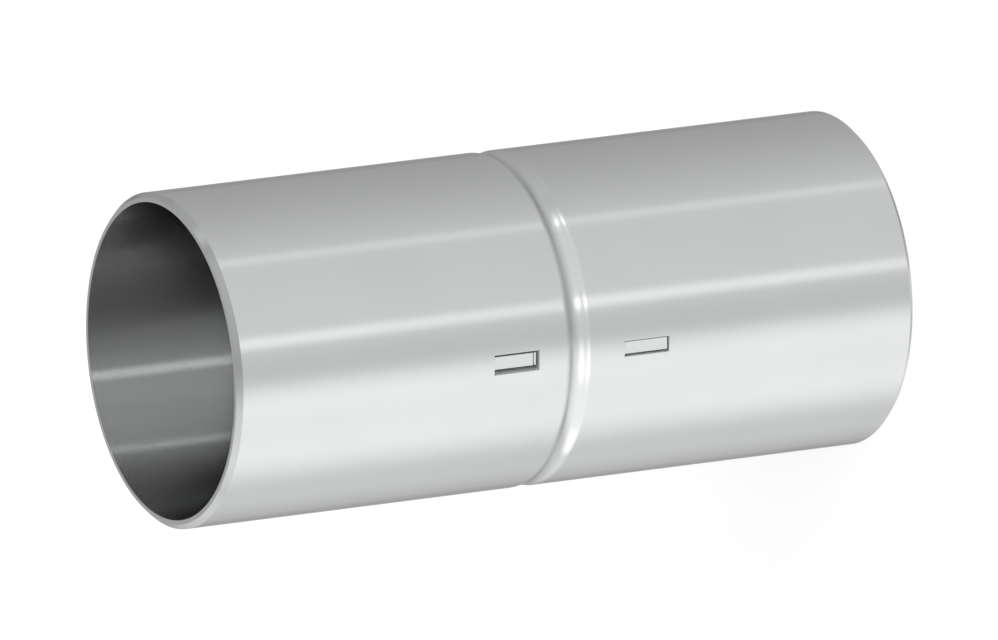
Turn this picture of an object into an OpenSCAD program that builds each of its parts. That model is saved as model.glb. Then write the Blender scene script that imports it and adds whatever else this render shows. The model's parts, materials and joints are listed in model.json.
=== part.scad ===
// Push-in coupler for rigid steel conduit. A short sleeve of sheet steel joins two conduits end to
// end: each slides into one socket until it meets the stop bead that is rolled in round the middle.
// A narrow tongue is lanced in the wall of each socket and sits a little below the sheet, so that
// its inner side presses on the conduit. The sleeve stands on its lower end, +Z runs along its axis
// and the tongues face -Y. Lengths are in millimetres.

/* [Sleeve] */
// Bore of each socket
socket_d = 20.2; // [16:0.1:64]
// Depth of each socket, from its mouth to the foot of the stop bead
socket_depth = 23.25; // [12:0.05:60]
// Thickness of the sheet
sheet_t = 0.6; // [0.5:0.05:1.2]
// Bevel round the outside of each mouth, the same along the axis and across it
edge_bevel = 0.33; // [0.1:0.01:0.45]

/* [Stop bead] */
// Depth of the groove that the bead leaves outside, and so the height of the stop inside
bead_depth = 0.18; // [0.1:0.01:1]
// Radius of the groove's trough, outside
bead_trough_r = 1.36; // [0.6:0.02:4]
// Radius of the hollow beside the stop, inside
bead_fillet_r = 0.4; // [0.1:0.05:2]

/* [Tongues] */
// Width of each tongue
tongue_w = 0.8; // [0.5:0.05:4]
// Length of the slits on both sides of each tongue
slit_l = 3.17; // [2:0.01:6]
// Length of the step down to the sunk tongue, at its root
step_l = 0.1; // [0.05:0.01:0.4]

/* [Upper tongue] */
// Distance from the bead to the tip end of the upper slits
upper_from_bead = 1.88; // [0.5:0.02:5]
// Width of the slit on each side of the upper tongue
upper_slit_w = 0.22; // [0.05:0.01:0.5]
// Gap between the upper tongue's tip and the sheet
upper_tip_gap = 0.14; // [0.05:0.01:0.5]
// How far the upper tongue lies below the outside of the sheet
upper_sink = 0.2; // [0.05:0.01:0.2]
// Length of the bevel on the upper tongue's tip
upper_bevel_l = 0.25; // [0.1:0.01:0.6]
// Drop of the bevel on the upper tongue's tip
upper_bevel_h = 0.085; // [0.02:0.005:0.3]

/* [Lower tongue] */
// Distance from the bead to the root end of the lower slits
lower_from_bead = 2.39; // [0.5:0.02:5]
// Width of the slit on each side of the lower tongue
lower_slit_w = 0.11; // [0.05:0.01:0.5]
// Gap between the lower tongue's tip and the sheet
lower_tip_gap = 0.11; // [0.05:0.01:0.5]
// How far the lower tongue lies below the outside of the sheet
lower_sink = 0.15; // [0.05:0.01:0.2]
// Length of the bevel on the lower tongue's tip
lower_bevel_l = 0.05; // [0.02:0.01:0.6]
// Drop of the bevel on the lower tongue's tip
lower_bevel_h = 0.05; // [0.02:0.005:0.3]

/* [Hidden] */
$fn = 96;

// Sleeve
bore_r = socket_d / 2;
outer_r = bore_r + sheet_t;

// The bead's section is three arcs of one sheet: a shoulder, the trough and a shoulder. The sheet
// keeps its thickness, so each arc has one centre for its outside and its inside.
shoulder_r = bead_fillet_r + sheet_t;
arc_reach = shoulder_r + bead_trough_r;
arc_angle = acos(1 - bead_depth / arc_reach);
bead_half_w = arc_reach * sin(arc_angle);
arc_steps = 8;

sleeve_l = 2 * (socket_depth + bead_half_w);
middle_z = sleeve_l / 2;

// Clear cut past the sheet on both sides, and a skin that keeps a tongue's root inside the sheet
cut_past = 1;
root_skin = 0.03;

// Section line of the bead from below to above, at a given depth under the sheet's outside
function bead_line(depth) = concat(
    [for (i = [0 : arc_steps]) let (a = arc_angle * i / arc_steps)
        [outer_r - shoulder_r + (shoulder_r - depth) * cos(a),
         middle_z - bead_half_w + (shoulder_r - depth) * sin(a)]],
    [for (i = [1 : 2 * arc_steps - 1]) let (a = arc_angle * (i / arc_steps - 1))
        [outer_r - bead_depth + bead_trough_r - (bead_trough_r + depth) * cos(a),
         middle_z + (bead_trough_r + depth) * sin(a)]],
    [for (i = [arc_steps : -1 : 0]) let (a = arc_angle * i / arc_steps)
        [outer_r - shoulder_r + (shoulder_r - depth) * cos(a),
         middle_z + bead_half_w - (shoulder_r - depth) * sin(a)]]
);

function backwards(points) = [for (i = [len(points) - 1 : -1 : 0]) points[i]];

// Wall of the sleeve, turned round the axis
module wall() {
    rotate_extrude()
        polygon(concat(
            [[bore_r, 0], [outer_r - edge_bevel, 0], [outer_r, edge_bevel]],
            bead_line(0),
            [[outer_r, sleeve_l - edge_bevel], [outer_r - edge_bevel, sleeve_l], [bore_r, sleeve_l]],
            backwards(bead_line(sheet_t))
        ));
}

// Window that the slits and the sunk tongue share, from its tip end upwards
module window(tip_z, slit_w) {
    half_w = tongue_w / 2 + slit_w;
    translate([-half_w, -outer_r - cut_past, tip_z])
        cube([2 * half_w, sheet_t + 2 * cut_past, slit_l]);
}

// Tongue seen from the side: a step at its root, a flat sunk run and a tip that may be bevelled
module tongue(tip_z, tip_gap, sink, bevel_l, bevel_h) {
    root_z = tip_z + slit_l;
    face_y = -(outer_r - sink);
    rotate([90, 0, 90])
        linear_extrude(height = tongue_w, center = true)
            polygon([
                [-(outer_r - root_skin), root_z],
                [face_y, root_z - step_l],
                [face_y, tip_z + tip_gap + bevel_l],
                [face_y + bevel_h, tip_z + tip_gap],
                [face_y + sheet_t, tip_z + tip_gap],
                [face_y + sheet_t, root_z - step_l],
                [-(bore_r + root_skin), root_z]
            ]);
}

module coupler_sleeve() {
    upper_tip_z = middle_z + bead_half_w + upper_from_bead;
    lower_tip_z = middle_z - bead_half_w - lower_from_bead - slit_l;
    color("gainsboro")
        union() {
            difference() {
                wall();
                window(upper_tip_z, upper_slit_w);
                window(lower_tip_z, lower_slit_w);
            }
            tongue(upper_tip_z, upper_tip_gap, upper_sink, upper_bevel_l, upper_bevel_h);
            tongue(lower_tip_z, lower_tip_gap, lower_sink, lower_bevel_l, lower_bevel_h);
        }
}

coupler_sleeve();
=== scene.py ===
"""Looks of the push-in conduit coupler: one sheet-steel sleeve on a white floor.

Lengths are in millimetres until a piece is put in the scene, which is in metres. The sleeve stands
on its lower end, +Z runs along its axis and its two tongues face -Y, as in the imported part.
"""

import json
import math

import bmesh
import bpy
from mathutils import Matrix, Vector


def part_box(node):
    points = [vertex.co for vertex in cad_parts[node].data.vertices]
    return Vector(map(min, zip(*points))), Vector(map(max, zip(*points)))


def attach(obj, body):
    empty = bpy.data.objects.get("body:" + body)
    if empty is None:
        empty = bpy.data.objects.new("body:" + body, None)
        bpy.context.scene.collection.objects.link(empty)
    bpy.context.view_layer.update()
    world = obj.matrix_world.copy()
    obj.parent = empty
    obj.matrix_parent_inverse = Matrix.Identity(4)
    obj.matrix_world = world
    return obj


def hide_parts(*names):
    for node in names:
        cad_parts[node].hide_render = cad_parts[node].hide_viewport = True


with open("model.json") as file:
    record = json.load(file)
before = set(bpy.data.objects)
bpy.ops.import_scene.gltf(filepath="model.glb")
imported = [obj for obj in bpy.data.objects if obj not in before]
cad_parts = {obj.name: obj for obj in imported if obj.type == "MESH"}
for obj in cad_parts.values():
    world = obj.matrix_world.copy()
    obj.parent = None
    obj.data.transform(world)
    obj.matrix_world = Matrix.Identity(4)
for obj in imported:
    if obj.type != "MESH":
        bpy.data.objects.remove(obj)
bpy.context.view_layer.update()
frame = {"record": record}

MM = 0.001

# Sizes of the sleeve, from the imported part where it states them

mounts = {mount["name"]: mount for mount in frame["record"]["mounts"]}
sleeve_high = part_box("coupler_sleeve")[1]

OUTER_R = sleeve_high[0] / MM
SLEEVE_L = sleeve_high[2] / MM
MIDDLE_Z = SLEEVE_L / 2
BORE_R = mounts["upper_socket"]["dims"]["r_mm"]
SOCKET_DEPTH = mounts["upper_socket"]["dims"]["length_mm"]
SHEET_T = OUTER_R - BORE_R

# The bead is a trough between two shoulders, all three of them arcs of one sheet. FILLET_R is the
# hollow beside the stop, inside.
FILLET_R = 0.4
BEAD_DEPTH = 0.18
BEAD_HALF_W = MIDDLE_Z - SOCKET_DEPTH
BEAD_ANGLE = 2 * math.atan(BEAD_DEPTH / BEAD_HALF_W)
SHOULDER_R = FILLET_R + SHEET_T
TROUGH_R = BEAD_HALF_W / math.sin(BEAD_ANGLE) - SHOULDER_R
ARC_STEPS = 10

EDGE_BEVEL = 0.33
# One step a degree keeps the outline and the reflections smooth
TURN_STEPS = 360
# Edges at which the sheet turns by more than this stay sharp
CORNER = math.radians(6)
# Places nearer to each other than this are the same
SAME = 1e-4
# Number of the material that each face takes
OUTSIDE, BORE, SHEARED = 0, 1, 2
# How far a face looks away from the axis, from -1 to 1: below the first value it lies in the bore,
# and nearer to 0 than the second it is a sheared edge
LOOKS_INWARDS = -0.5
LOOKS_SIDEWAYS = 0.35

# Both tongues: the slits' length and, on the tongue, the step at its root and the crease at its lip
SLIT_L = 3.17
STEP_L = 0.1
CREASE_L = 0.12
# From the foot of the bead to the nearer end of each tongue's slits
UPPER_FROM_BEAD = 1.915
LOWER_FROM_BEAD = 2.39
# Share of a slit's width that it loses towards the bore, where the sheet tore, and the round that
# the tool pressed on the edges outside
SLIT_TAPER = 0.5
ROLL_OVER = 0.03
# The cuts for a window run through a strip of the sheet that is this many times as wide
CUT_REACH = 2
# The upper and the lower tongue: where the tip end of its window is, the edges of the window and of
# the tongue in it, across the line that both tongues lie on, the gap at its tip, how far it lies
# under the outside, and its lip's length and drop
TONGUES = [
    {"tip_z": MIDDLE_Z + BEAD_HALF_W + UPPER_FROM_BEAD, "window": (-0.65, 0.63),
     "across": (-0.35, 0.475), "tip_gap": 0.1, "sink": 0.2, "lip_l": 0.155, "lip_drop": 0.05},
    {"tip_z": MIDDLE_Z - BEAD_HALF_W - LOWER_FROM_BEAD - SLIT_L, "window": (-0.49, 0.51),
     "across": (-0.36, 0.44), "tip_gap": 0.06, "sink": 0.15, "lip_l": 0.0, "lip_drop": 0.0},
]


def to_linear(hex_colour):
    """Linear RGBA of an sRGB hex colour."""
    channels = [int(hex_colour[i:i + 2], 16) / 255 for i in (1, 3, 5)]
    return [c / 12.92 if c <= 0.04045 else ((c + 0.055) / 1.055) ** 2.4 for c in channels] + [1.0]


def add(tree, kind, inputs=None, **settings):
    """Adds a node. Settings are its options, and inputs are values or links for its sockets."""
    new = tree.nodes.new(kind)
    for name, value in settings.items():
        setattr(new, name, value)
    for socket, value in (inputs or {}).items():
        if isinstance(value, bpy.types.NodeSocket):
            tree.links.new(value, new.inputs[socket])
        else:
            new.inputs[socket].default_value = value
    return new


# Shape of the sleeve

def arc(bm, start, centre, angle):
    """Carries the section line on from a vertex round a centre, and returns its new end."""
    spun = bmesh.ops.spin(bm, geom=[start], cent=centre, axis=(0, -1, 0), angle=angle,
                          steps=ARC_STEPS)
    return next(v for v in spun["geom_last"] if isinstance(v, bmesh.types.BMVert))


def line(bm, start, end):
    """Carries the section line straight on from a vertex to a place."""
    drawn = bmesh.ops.extrude_vert_indiv(bm, verts=[start])["verts"][0]
    drawn.co = end
    return drawn


def section_line(bm):
    """Draws the outside of the sheet from the lower mouth to the upper one, in the XZ plane."""
    shoulder_x = OUTER_R - SHOULDER_R
    end = bmesh.ops.create_vert(bm, co=(OUTER_R, 0, 0))["vert"][0]
    end = line(bm, end, (OUTER_R, 0, MIDDLE_Z - BEAD_HALF_W))
    end = arc(bm, end, (shoulder_x, 0, MIDDLE_Z - BEAD_HALF_W), BEAD_ANGLE)
    end = arc(bm, end, (OUTER_R - BEAD_DEPTH + TROUGH_R, 0, MIDDLE_Z), -2 * BEAD_ANGLE)
    end = arc(bm, end, (shoulder_x, 0, MIDDLE_Z + BEAD_HALF_W), BEAD_ANGLE)
    line(bm, end, (OUTER_R, 0, SLEEVE_L))


def inside(place, across, along):
    """True where a place on the tongues' side lies between two lines across and two along."""
    return (place.y < 0 and across[0] - SAME < place.x < across[1] + SAME
            and along[0] - SAME < place.z < along[1] + SAME)


def lance(bm, tip_z, window, across, tip_gap, sink, lip_l, lip_drop):
    """Cuts the slits round a tongue, from the tip end upwards, and sinks it under the sheet."""
    root_z = tip_z + SLIT_L
    step_z = root_z - STEP_L
    tongue_z = tip_z + tip_gap
    lip_z = tongue_z + lip_l
    half = (0, MIDDLE_Z) if tip_z < MIDDLE_Z else (MIDDLE_Z, SLEEVE_L)
    strip = (CUT_REACH * window[0], CUT_REACH * window[1])

    heights = sorted({tip_z, tongue_z, lip_z, lip_z + CREASE_L, step_z, root_z})
    cuts = [((0, 0, z), (0, 0, 1), half) for z in heights]
    cuts += [((x, 0, 0), (1, 0, 0), (tip_z, root_z)) for x in (*window, *across)]
    for place, normal, along in cuts:
        faces = [f for f in bm.faces if inside(f.calc_center_median(), strip, along)]
        edges = {e for f in faces for e in f.edges}
        verts = {v for f in faces for v in f.verts}
        bmesh.ops.bisect_plane(bm, geom=faces + list(edges) + list(verts), plane_co=place,
                               plane_no=normal)

    lanced = [f for f in bm.faces if inside(f.calc_center_median(), window, (tip_z, root_z))]
    tongue = [f for f in lanced if inside(f.calc_center_median(), across, (tongue_z, root_z))]
    bmesh.ops.delete(bm, geom=list(set(lanced) - set(tongue)), context="FACES")
    for vert in {v for f in tongue for v in f.verts}:
        if vert.co.z < step_z + SAME:
            vert.co.y = -(OUTER_R - sink)
        if vert.co.z < lip_z + SAME:
            vert.co.y += lip_drop


def taper_slits(bm, tip_z, window, across):
    """Brings the inner edges of a window's long walls nearer to the tongue."""
    along = (tip_z, tip_z + SLIT_L)
    walls = [f for f in bm.faces
             if f.material_index == SHEARED and abs(f.normal.z) < SAME
             and inside(f.calc_center_median(), window, along)
             and not inside(f.calc_center_median(), across, along)]
    for vert in {v for f in walls for v in f.verts}:
        if vert.co.xy.length < BORE_R + SHEET_T / 2 and vert.co.z < along[1] - SAME:
            side = 0 if vert.co.x < 0 else 1
            vert.co.x = window[side] + (across[side] - window[side]) * SLIT_TAPER


def coupler_sleeve():
    """One sheet: its outside is turned, the tongues are lanced, and then it gets its thickness, the
    narrowing of the slits, the mouths' bevels and the round of the sheared edges. Its faces take
    the first material outside, the second in the bore and the third where the sheet was sheared."""
    bm = bmesh.new()
    section_line(bm)
    bmesh.ops.spin(bm, geom=bm.verts[:] + bm.edges[:], cent=(0, 0, 0), axis=(0, 0, 1),
                   angle=2 * math.pi, steps=TURN_STEPS, use_merge=True)
    bmesh.ops.remove_doubles(bm, verts=bm.verts, dist=SAME)
    for tongue in TONGUES:
        lance(bm, **tongue)
    bmesh.ops.recalc_face_normals(bm, faces=bm.faces)
    bmesh.ops.solidify(bm, geom=bm.faces[:], thickness=SHEET_T)
    bm.normal_update()
    for face in bm.faces:
        middle = face.calc_center_median()
        outwards = face.normal.xy.dot(middle.xy.normalized())
        if outwards < LOOKS_INWARDS:
            face.material_index = BORE
        elif abs(outwards) < LOOKS_SIDEWAYS and EDGE_BEVEL < middle.z < SLEEVE_L - EDGE_BEVEL:
            face.material_index = SHEARED
    for tongue in TONGUES:
        taper_slits(bm, tongue["tip_z"], tongue["window"], tongue["across"])
    for z in (0, SLEEVE_L):
        rim = [e for e in bm.edges
               if all(abs(v.co.z - z) < SAME and v.co.xy.length > OUTER_R - SHEET_T / 2
                      for v in e.verts)]
        bmesh.ops.bevel(bm, geom=rim, offset=EDGE_BEVEL, segments=1, profile=0.5, affect="EDGES",
                        material=-1)
    sheared = [e for e in bm.edges
               if {f.material_index for f in e.link_faces} == {OUTSIDE, SHEARED}]
    rounded = bmesh.ops.bevel(bm, geom=sheared, offset=ROLL_OVER, segments=2, profile=0.5,
                              affect="EDGES", material=-1)
    for face in rounded["faces"]:
        face.material_index = OUTSIDE
    return bm


def put_in_scene(bm, name, *materials):
    """Makes a piece of a mesh: millimetres become metres, and only the true corners stay sharp."""
    bmesh.ops.transform(bm, matrix=Matrix.Scale(MM, 4), verts=bm.verts)
    for face in bm.faces:
        face.smooth = True
    for edge in bm.edges:
        edge.smooth = len(edge.link_faces) == 2 and edge.calc_face_angle() < CORNER
    mesh = bpy.data.meshes.new(name)
    bm.to_mesh(mesh)
    bm.free()
    for material in materials:
        mesh.materials.append(material)
    piece = bpy.data.objects.new(name, mesh)
    bpy.context.scene.collection.objects.link(piece)
    return piece


# Materials

def empty_material(name):
    """A new material and its tree, which has no nodes yet."""
    material = bpy.data.materials.new(name)
    material.use_nodes = True
    material.node_tree.nodes.clear()
    return material, material.node_tree


def zinc_plated_steel():
    """Cold-rolled steel, bright zinc plated: a pale, slightly cool mirror whose reflections are
    soft at their edges. The zinc is a little duller in faint clouds, and the sheet keeps the grain
    of the rolls, which is finer than the render can show and is drawn four times as coarse."""
    cloud, grain, grain_depth = 6 * MM, 0.4 * MM, 0.0004 * MM
    material, tree = empty_material("zinc_plated_steel")
    place = add(tree, "ShaderNodeTexCoord").outputs["Object"]
    clouds = add(tree, "ShaderNodeTexNoise", {"Vector": place, "Scale": 1 / cloud, "Detail": 3.0})
    tint = add(tree, "ShaderNodeValToRGB", {0: clouds.outputs[0]})
    tint.color_ramp.elements[0].color = to_linear("#C2C4C3")
    tint.color_ramp.elements[1].color = to_linear("#C8CAC9")
    soft = add(tree, "ShaderNodeMapRange",
               {"Value": clouds.outputs[0], "To Min": 0.17, "To Max": 0.15})
    rolled = add(tree, "ShaderNodeTexNoise", {"Vector": place, "Scale": 1 / grain, "Detail": 2.0})
    relief = add(tree, "ShaderNodeBump", {"Height": rolled.outputs[0], "Distance": grain_depth})
    surface = add(tree, "ShaderNodeBsdfPrincipled",
                  {"Metallic": 1.0, "Base Color": tint.outputs[0], "Roughness": soft.outputs[0],
                   "Normal": relief.outputs[0]})
    add(tree, "ShaderNodeOutputMaterial", {"Surface": surface.outputs[0]})
    return material


def bore_steel_with_painted_shade():
    """The same steel inside, with fine ridges running round the bore, and its colour painted darker
    than outside as painted shade in the bore. It spreads light along the bore but hardly across it.
    A ridge's two flanks lean up and down. One ridge is too fine to show, so they show as that
    spread alone."""
    ridge, flank_slope = 0.02 * MM, 0.54
    material, tree = empty_material("bore_steel_with_painted_shade")
    place = add(tree, "ShaderNodeTexCoord").outputs["Object"]
    # A wave texture at scale 1 repeats after a tenth of pi
    ridges = add(tree, "ShaderNodeTexWave", {"Vector": place, "Scale": math.pi / 10 / ridge},
                 bands_direction="Z", wave_profile="SAW")
    flank = add(tree, "ShaderNodeMath", {0: ridges.outputs["Fac"]}, operation="ROUND")
    lean = add(tree, "ShaderNodeMapRange",
               {"Value": flank.outputs[0], "To Min": -flank_slope, "To Max": flank_slope})
    upwards = add(tree, "ShaderNodeCombineXYZ", {"Z": lean.outputs[0]})
    facing = add(tree, "ShaderNodeNewGeometry").outputs["Normal"]
    leaning = add(tree, "ShaderNodeVectorMath", {0: facing, 1: upwards.outputs[0]}, operation="ADD")
    unit = add(tree, "ShaderNodeVectorMath", {0: leaning.outputs[0]}, operation="NORMALIZE")
    round_the_bore = add(tree, "ShaderNodeTangent", direction_type="RADIAL", axis="Z")
    # The dark base colour is painted shade: the steel in the bore is the same as outside
    surface = add(tree, "ShaderNodeBsdfPrincipled",
                  {"Metallic": 1.0, "Base Color": to_linear("#747675"), "Roughness": 0.2,
                   "Anisotropic": 1.0, "Anisotropic Rotation": 0.25,
                   "Tangent": round_the_bore.outputs[0], "Normal": unit.outputs[0]})
    add(tree, "ShaderNodeOutputMaterial", {"Surface": surface.outputs[0]})
    return material


def sheared_steel():
    """Edges of the sheet that the lancing tool sheared: torn, so they are matt and have no clear
    reflection."""
    tear, tear_depth = 0.05 * MM, 0.004 * MM
    material, tree = empty_material("sheared_steel")
    place = add(tree, "ShaderNodeTexCoord").outputs["Object"]
    torn = add(tree, "ShaderNodeTexNoise", {"Vector": place, "Scale": 1 / tear, "Detail": 2.0})
    rough = add(tree, "ShaderNodeMapRange",
                {"Value": torn.outputs[0], "To Min": 0.55, "To Max": 0.75})
    relief = add(tree, "ShaderNodeBump", {"Height": torn.outputs[0], "Distance": tear_depth})
    surface = add(tree, "ShaderNodeBsdfPrincipled",
                  {"Metallic": 1.0, "Base Color": to_linear("#D2D4D3"),
                   "Roughness": rough.outputs[0], "Normal": relief.outputs[0]})
    add(tree, "ShaderNodeOutputMaterial", {"Surface": surface.outputs[0]})
    return material


def matt_white_floor():
    """Painted white table top, matt: white all over, with a faint soft shadow. Most of its white is
    its own glow, because the photograph shows no shadow on it."""
    glow_level = 0.75
    material, tree = empty_material("matt_white_floor")
    diffuse = add(tree, "ShaderNodeBsdfDiffuse", {"Color": to_linear("#A0A0A0")})
    glow = add(tree, "ShaderNodeEmission", {"Strength": glow_level})
    both = add(tree, "ShaderNodeAddShader", {0: diffuse.outputs[0], 1: glow.outputs[0]})
    add(tree, "ShaderNodeOutputMaterial", {"Surface": both.outputs[0]})
    return material


# Camera

IMAGE_W, IMAGE_H = 998, 640
SENSOR_W = 36
# Where the camera stands: its direction from the sleeve, its turn about its own line of sight and
# its distance, and the pixel at which the middle of the sleeve shows
CAMERA_AZIMUTH = math.radians(-74.4)
CAMERA_RISE = math.radians(26.992)
CAMERA_ROLL = math.radians(-97.112)
CAMERA_DISTANCE = 170.1 * OUTER_R
FOCAL_PX = 28710
MIDDLE_PX = (499.76, 318.98)
# Metres that the camera sees
CLIP_END = 20


def camera():
    """Looks down at the sleeve from far off, turned so that the sleeve lies across the picture."""
    back = Vector((math.cos(CAMERA_RISE) * math.cos(CAMERA_AZIMUTH),
                   math.cos(CAMERA_RISE) * math.sin(CAMERA_AZIMUTH), math.sin(CAMERA_RISE)))
    level = Vector((0, 0, 1)).cross(back).normalized()
    right = Matrix.Rotation(CAMERA_ROLL, 3, back) @ level
    up = back.cross(right)
    side = (MIDDLE_PX[0] - IMAGE_W / 2) / FOCAL_PX * CAMERA_DISTANCE
    rise = (IMAGE_H / 2 - MIDDLE_PX[1]) / FOCAL_PX * CAMERA_DISTANCE
    place = Vector((0, 0, MIDDLE_Z)) + back * CAMERA_DISTANCE - right * side - up * rise
    data = bpy.data.cameras.new("camera")
    data.sensor_width = SENSOR_W
    data.lens = FOCAL_PX / IMAGE_W * SENSOR_W
    data.clip_end = CLIP_END
    made = bpy.data.objects.new("camera", data)
    made.matrix_world = Matrix((right, up, back)).transposed().to_4x4()
    made.location = place * MM
    bpy.context.scene.collection.objects.link(made)
    bpy.context.scene.camera = made


# Light

# Level of the studio's wall by azimuth in degrees, 0 at the camera and growing anticlockwise from
# above, and by elevation. Level 1 shows a colour as it is written.
WALL_ROUND = [(-180, 0.62), (-164, 0.38), (-150, 0.64), (-126, 0.93), (-100, 0.98), (-16, 0.87),
              (16, 1.0), (60, 0.95), (72, 0.87), (104, 0.69), (152, 0.48), (160, 0.35), (170, 0.40),
              (180, 0.62)]
WALL_UPWARDS = [(-90, 0.1), (-80, 0.2), (-74, 0.6), (-70, 0.62), (-56, 0.70), (-44, 0.85),
                (-30, 0.99), (-10, 1.12), (8, 1.09), (18, 1.04), (60, 0.69), (66, 0.62), (76, 0.15),
                (90, 0.1)]
# Each lamp, or dark card where its level is below 0: azimuths at which it starts, is full, is still
# full and ends, the same in elevation, and its level
LAMPS = {
    "long_soft_box": ((-110, -76, -38, -18), (-80, -36, 20, 32), 0.49),
    "left_lamp": ((-110, -104, -92, -80), (-26, -2, 6, 12), 0.7),
    "low_lamp": ((-52, -44, -28, -17), (-30, -8, 0, 20), 0.5),
    "narrow_strip": ((-2, 3.5, 4.5, 9.5), (-44, -6, 0, 20), 1.35),
    "thin_strip": ((59, 62.5, 63.5, 67), (-40, -28, 6, 22), 0.3),
    "thin_strip_middle": ((58, 60, 60.6, 62.6), (-20, -9, -2, 9), 2.2),
    "left_wall_glow": ((-178, -150, -120, -100), (-24, 0, 40, 60), 0.15),
    "high_left_lamp": ((-150, -110, -62, -22), (36, 42, 62, 72), 0.4),
    "high_front_lamp": ((-42, 16, 46, 118), (21, 26, 38, 43), 3.15),
    "high_narrow_strip": ((0, 4, 6, 10), (21, 26, 38, 43), 4.7),
    "high_thin_strip": ((59.5, 62.5, 63.5, 66.5), (21, 26, 38, 43), 4.5),
    "thin_strip_card": ((66, 70, 76, 86), (-26, -14, 20, 26), -0.13),
    "right_card": ((66, 90, 172, 179), (-26, -6, 18, 24), -0.07),
    "high_right_card": ((80, 90, 108, 118), (28, 33, 45, 50), -0.17),
    "middle_left_card": ((-124, -116, -92, -84), (5, 10, 16, 20), -0.7),
    "high_left_card": ((-82, -72, -50, -20), (20, 25, 37, 41), -0.7),
    "left_card": ((-116, -108, -82, -72), (16, 20, 29, 33), -0.6),
    "small_high_left_lamp": ((-118, -110, -102, -94), (30, 34, 38, 42), 0.2),
    "high_rear_card": ((-172, -162, -134, -124), (22, 30, 60, 70), -0.3),
    "low_left_card": ((-172, -160, -128, -98), (-89, -80, -58, -42), -0.26),
    "low_right_card": ((90, 125, 160, 172), (-89, -75, -58, -42), -0.18),
    "low_rear_left_lamp": ((-182, -181, -166, -157), (-78, -66, -44, -34), 0.6),
    "low_rear_right_lamp": ((157, 166, 181, 182), (-78, -66, -44, -34), 0.3),
}


def studio():
    """World of a pale studio: a wall whose level changes slowly round the sleeve, and its lamps."""
    world = bpy.data.worlds.new("studio")
    bpy.context.scene.world = world
    world.use_nodes = True
    tree = world.node_tree
    tree.nodes.clear()
    towards = add(tree, "ShaderNodeTexCoord").outputs["Generated"]
    turned = add(tree, "ShaderNodeVectorRotate",
                 {"Vector": towards, "Axis": (0, 0, 1), "Angle": -CAMERA_AZIMUTH})
    split = add(tree, "ShaderNodeSeparateXYZ", {0: turned.outputs[0]})
    azimuth = add(tree, "ShaderNodeMath", {0: split.outputs["Y"], 1: split.outputs["X"]},
                  operation="ARCTAN2")
    elevation = add(tree, "ShaderNodeMath", {0: split.outputs["Z"]}, operation="ARCSINE")
    azimuth, elevation = [
        add(tree, "ShaderNodeMath", {0: angle.outputs[0]}, operation="DEGREES").outputs[0]
        for angle in (azimuth, elevation)]

    walls = []
    for angle, stops in ((azimuth, WALL_ROUND), (elevation, WALL_UPWARDS)):
        first, last = stops[0][0], stops[-1][0]
        along = add(tree, "ShaderNodeMapRange",
                    {"Value": angle, "From Min": first, "From Max": last})
        wall = add(tree, "ShaderNodeValToRGB", {0: along.outputs[0]})
        ends = wall.color_ramp.elements
        while len(ends) < len(stops):
            ends.new(1.0)
        for end, (at, shade) in zip(ends, stops):
            end.position = (at - first) / (last - first)
            end.color = (shade, shade, shade, 1)
        walls.append(wall.outputs[0])
    level = add(tree, "ShaderNodeMath", {0: walls[0], 1: walls[1]}, operation="MULTIPLY").outputs[0]

    for sides, heights, lit in LAMPS.values():
        for angle, (starts, full, still_full, ends) in ((azimuth, sides), (elevation, heights)):
            lit = add(tree, "ShaderNodeMapRange",
                      {"Value": angle, "From Min": starts, "From Max": full,
                       "To Min": 0.0, "To Max": lit}, interpolation_type="SMOOTHSTEP").outputs[0]
            lit = add(tree, "ShaderNodeMapRange",
                      {"Value": angle, "From Min": still_full, "From Max": ends,
                       "To Min": lit, "To Max": 0.0}, interpolation_type="SMOOTHSTEP").outputs[0]
        level = add(tree, "ShaderNodeMath", {0: level, 1: lit}, operation="ADD").outputs[0]

    # Where cards overlap on a dark wall there is no light, not less than none
    level = add(tree, "ShaderNodeMath", {0: level, 1: 0.0}, operation="MAXIMUM").outputs[0]
    # Past the floor's edge the camera itself sees plain white
    seen = add(tree, "ShaderNodeLightPath").outputs["Is Camera Ray"]
    level = add(tree, "ShaderNodeMapRange", {"Value": seen, "To Min": level, "To Max": 1.0})
    light = add(tree, "ShaderNodeBackground", {"Color": level.outputs[0]})
    add(tree, "ShaderNodeOutputWorld", {"Surface": light.outputs[0]})


# The scene

sleeve = put_in_scene(coupler_sleeve(), "coupler_sleeve_shown", zinc_plated_steel(),
                      bore_steel_with_painted_shade(), sheared_steel())
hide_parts("coupler_sleeve")
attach(sleeve, "root")

# Half of the floor's width
FLOOR_HALF = 4000
floor_mesh = bmesh.new()
bmesh.ops.create_grid(floor_mesh, x_segments=1, y_segments=1, size=FLOOR_HALF)
floor = put_in_scene(floor_mesh, "floor", matt_white_floor())
# The upright wall mirrors what lies below the horizon, where the photograph shows tall lamps and a
# pale wall: there the sleeve sees past the floor to the studio, and is lit by it
floor.visible_glossy = False
floor.visible_shadow = False

camera()
studio()
bpy.context.scene.view_settings.view_transform = "Standard"
# Times that light may cross the bore before it leaves it
BORE_CROSSINGS = 12
bpy.context.scene.cycles.glossy_bounces = BORE_CROSSINGS
